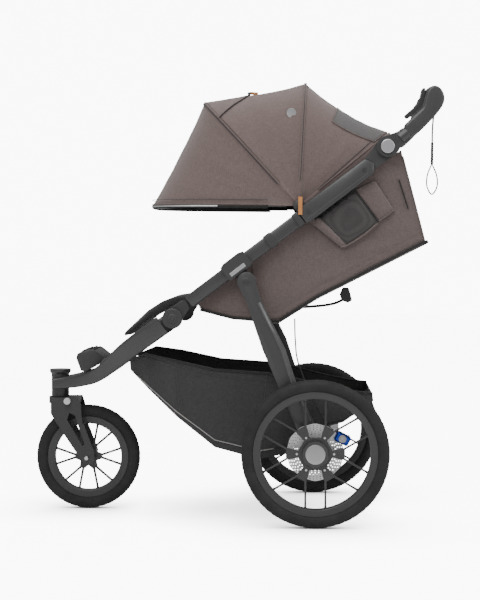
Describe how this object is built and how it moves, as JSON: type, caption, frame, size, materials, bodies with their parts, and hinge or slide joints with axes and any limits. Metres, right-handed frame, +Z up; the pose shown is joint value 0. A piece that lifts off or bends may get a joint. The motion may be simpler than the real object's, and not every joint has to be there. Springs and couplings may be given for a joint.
{
  "type": "jogging stroller",
  "caption": "Three-wheeled jogging stroller with a lift-to-fold frame, swivelling front wheel, reclining fabric seat, folding canopy, storage basket and angle-adjustable handlebar.",
  "frame": {"origin": "on the floor under the middle of the stroller's overall box, wheels standing on z = 0", "axes": "+X forward to the front wheel, +Y to the child's left, +Z up"},
  "size_m": [1.153, 0.675, 1.2186],
  "materials": {
    "frame_satin": "satin charcoal powder coat",
    "moulded_black": "fine grained moulding",
    "tyre_rubber": "matt rubber with tread blocks",
    "wheel_black": "satin",
    "satin_silver": "satin",
    "steel": "ground",
    "blue_anodised": "anodised",
    "white_plastic": "satin",
    "canopy_fabric": "melange weave",
    "seat_fabric": "melange weave",
    "dark_fabric": "fine ribbed mesh",
    "grip_leather": "pebble grained",
    "webbing": "woven strap"
  },
  "bodies": {
    "main_frame": {"side_tube_left": "frame_satin", "side_tube_right": "frame_satin", "upper_housing_left": "frame_satin", "upper_housing_right": "frame_satin", "hinge_lug_left": "moulded_black", "hinge_lug_right": "moulded_black", "latch_bracket_left": "moulded_black", "latch_bracket_right": "moulded_black", "seat_bag": "seat_fabric", "seat_cushion": "seat_fabric", "leg_rest": "dark_fabric", "side_pocket": "dark_fabric", "recline_buckle": "moulded_black", "recline_strap": "webbing", "harness_buckle": "moulded_black", "canopy_rear_panel": "canopy_fabric", "basket": "dark_fabric"},
    "front_frame": {"front_arm_left": "frame_satin", "front_arm_right": "frame_satin", "front_hinge_left": "moulded_black", "front_hinge_right": "moulded_black", "head_tube": "frame_satin", "footrest": "moulded_black"},
    "fork": {"fork": "moulded_black", "front_axle": "steel"},
    "swivel_knob": {"swivel_knob": "white_plastic"},
    "front_wheel": {"front_tyre": "tyre_rubber", "front_rim": "wheel_black"},
    "rear_frame": {"rear_leg_left": "frame_satin", "rear_leg_right": "frame_satin", "rear_stub_left": "steel", "rear_stub_right": "steel", "brake_caliper_left": "blue_anodised", "brake_caliper_right": "blue_anodised", "rear_axle_tube": "frame_satin", "brake_cable": "moulded_black"},
    "rear_wheel_left": {"rear_tyre_left": "tyre_rubber", "rear_rim_left": "wheel_black", "brake_rotor_left": "steel"},
    "rear_wheel_right": {"rear_tyre_right": "tyre_rubber", "rear_rim_right": "wheel_black", "brake_rotor_right": "steel"},
    "handle": {"handle_hub_left": "moulded_black", "handle_hub_right": "moulded_black", "handlebar": "frame_satin", "handle_grip": "grip_leather"},
    "wrist_strap": {"wrist_cord": "webbing", "strap_keeper": "moulded_black", "wrist_loop": "webbing"},
    "hub_button_left": {"hub_button_left": "satin_silver"},
    "hub_button_right": {"hub_button_right": "satin_silver"},
    "brake_lever": {"brake_lever": "moulded_black"},
    "canopy_mid": {"canopy_bow_mid": "frame_satin", "canopy_top_panel": "canopy_fabric"},
    "canopy_corner": {"canopy_bow_corner": "frame_satin", "canopy_front_panel": "canopy_fabric"},
    "canopy_front": {"canopy_bow_front": "frame_satin"},
    "seat_back": {"seat_back": "seat_fabric"},
    "buckle_button": {"buckle_button": "moulded_black"}
  },
  "joints": [
    {"name": "frame_fold", "type": "hinge", "parent": "main_frame", "child": "front_frame", "pos_m": [0.164, 0, 0.5601], "axis": [0, 1, 0], "range_deg": [0, 105], "deforming": ["basket"]},
    {"name": "rear_leg_fold", "type": "hinge", "parent": "main_frame", "child": "rear_frame", "pos_m": [-0.0395, 0, 0.6622], "axis": [0, 1, 0], "range_deg": [0, 60], "deforming": ["brake_cable"]},
    {"name": "front_swivel", "type": "hinge", "parent": "front_frame", "child": "fork", "pos_m": [0.5087, 0, 0.3245], "axis": [0, 0, 1], "continuous": true},
    {"name": "front_wheel_spin", "type": "hinge", "parent": "fork", "child": "front_wheel", "pos_m": [0.427, 0, 0.15], "axis": [0, 1, 0], "continuous": true},
    {"name": "swivel_lock", "type": "hinge", "parent": "fork", "child": "swivel_knob", "pos_m": [0.4811, 0, 0.3143], "axis": [0, 1, 0], "range_deg": [0, 90]},
    {"name": "rear_wheel_left_spin", "type": "hinge", "parent": "rear_frame", "child": "rear_wheel_left", "pos_m": [-0.2262, 0.315, 0.2], "axis": [0, 1, 0], "continuous": true},
    {"name": "rear_wheel_right_spin", "type": "hinge", "parent": "rear_frame", "child": "rear_wheel_right", "pos_m": [-0.2262, -0.315, 0.2], "axis": [0, 1, 0], "continuous": true},
    {"name": "handle_angle", "type": "hinge", "parent": "main_frame", "child": "handle", "pos_m": [-0.4214, 0, 1.0285], "axis": [0, 1, 0], "range_deg": [-60, 30]},
    {"name": "hub_button_left_press", "type": "slide", "parent": "handle", "child": "hub_button_left", "axis": [0, -1, 0], "range_m": [0, 0.0025], "stiffness_N_per_m": 400},
    {"name": "hub_button_right_press", "type": "slide", "parent": "handle", "child": "hub_button_right", "axis": [0, 1, 0], "range_m": [0, 0.0025], "stiffness_N_per_m": 400},
    {"name": "wrist_strap_hang", "type": "hinge", "parent": "handle", "child": "wrist_strap", "pos_m": [-0.552, 0.208, 1.176], "axis": [0, 1, 0], "range_deg": [-30, 60]},
    {"name": "brake_lever_pull", "type": "hinge", "parent": "handle", "child": "brake_lever", "pos_m": [-0.5225, 0.172, 1.186], "axis": [0, 1, 0], "range_deg": [0, 14], "stiffness_Nm_per_rad": 1.5},
    {"name": "canopy_rear_fold", "type": "hinge", "parent": "main_frame", "child": "canopy_mid", "pos_m": [-0.1821, 0, 0.8683], "axis": [0, 1, 0], "range_deg": [-16, 0], "deforming": ["canopy_rear_panel"]},
    {"name": "canopy_top_fold", "type": "hinge", "parent": "canopy_mid", "child": "canopy_corner", "pos_m": [-0.1821, 0, 0.8683], "axis": [0, 1, 0], "range_deg": [-32, 0], "deforming": ["canopy_top_panel"]},
    {"name": "canopy_front_fold", "type": "hinge", "parent": "canopy_corner", "child": "canopy_front", "pos_m": [-0.1821, 0, 0.8683], "axis": [0, 1, 0], "range_deg": [-32, 0], "deforming": ["canopy_front_panel"]},
    {"name": "seat_recline", "type": "hinge", "parent": "main_frame", "child": "seat_back", "pos_m": [-0.15, 0, 0.606], "axis": [0, 1, 0], "range_deg": [0, 36]},
    {"name": "buckle_button_press", "type": "slide", "parent": "main_frame", "child": "buckle_button", "axis": [0, 0, -1], "range_m": [0, 0.0008], "stiffness_N_per_m": 300}
  ],
  "couplings": [
    {"joint": "wrist_strap_hang", "follows": "handle_angle", "ratio": -1},
    {"joint": "rear_leg_fold", "follows": "frame_fold", "ratio": 0.5712},
    {"joint": "canopy_top_fold", "follows": "canopy_front_fold", "ratio": 1},
    {"joint": "canopy_rear_fold", "follows": "canopy_front_fold", "ratio": 0.5}
  ]
}
